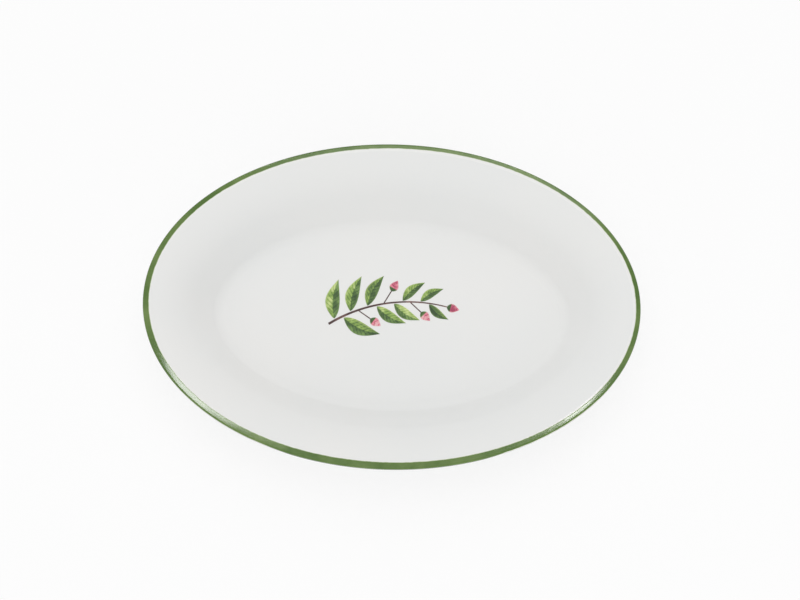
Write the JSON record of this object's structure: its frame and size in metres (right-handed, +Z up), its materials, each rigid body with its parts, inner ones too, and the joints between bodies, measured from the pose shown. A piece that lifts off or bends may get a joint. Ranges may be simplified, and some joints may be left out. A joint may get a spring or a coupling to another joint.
{
  "type": "asparagus plate",
  "caption": "Oval white porcelain plate with a wide sloping rim, a flat well, a foot ring, a green painted line round the lip and a leafy sprig printed in the middle.",
  "frame": {"origin": "On the table under the middle of the plate", "axes": "X along the length of the oval, Y across its width, Z up out of the well"},
  "size_m": [0.32, 0.22, 0.032],
  "materials": {
    "bare_porcelain": "matt fired porcelain, bare on the foot",
    "clear_glaze": "glossy white",
    "green_line": "glossy, hand banded",
    "light_green_print": "glossy, fired transfer",
    "dark_green_print": "glossy, fired transfer",
    "brown_print": "glossy, fired transfer",
    "pink_print": "glossy, fired transfer"
  },
  "bodies": {
    "root": {"ceramic_body": "bare_porcelain", "plate_glaze": "clear_glaze", "foot_well_glaze": "clear_glaze", "rim_line": "green_line", "leaf_lights": "light_green_print", "leaf_shades": "dark_green_print", "twig": "brown_print", "buds": "pink_print"}
  },
  "joints": []
}
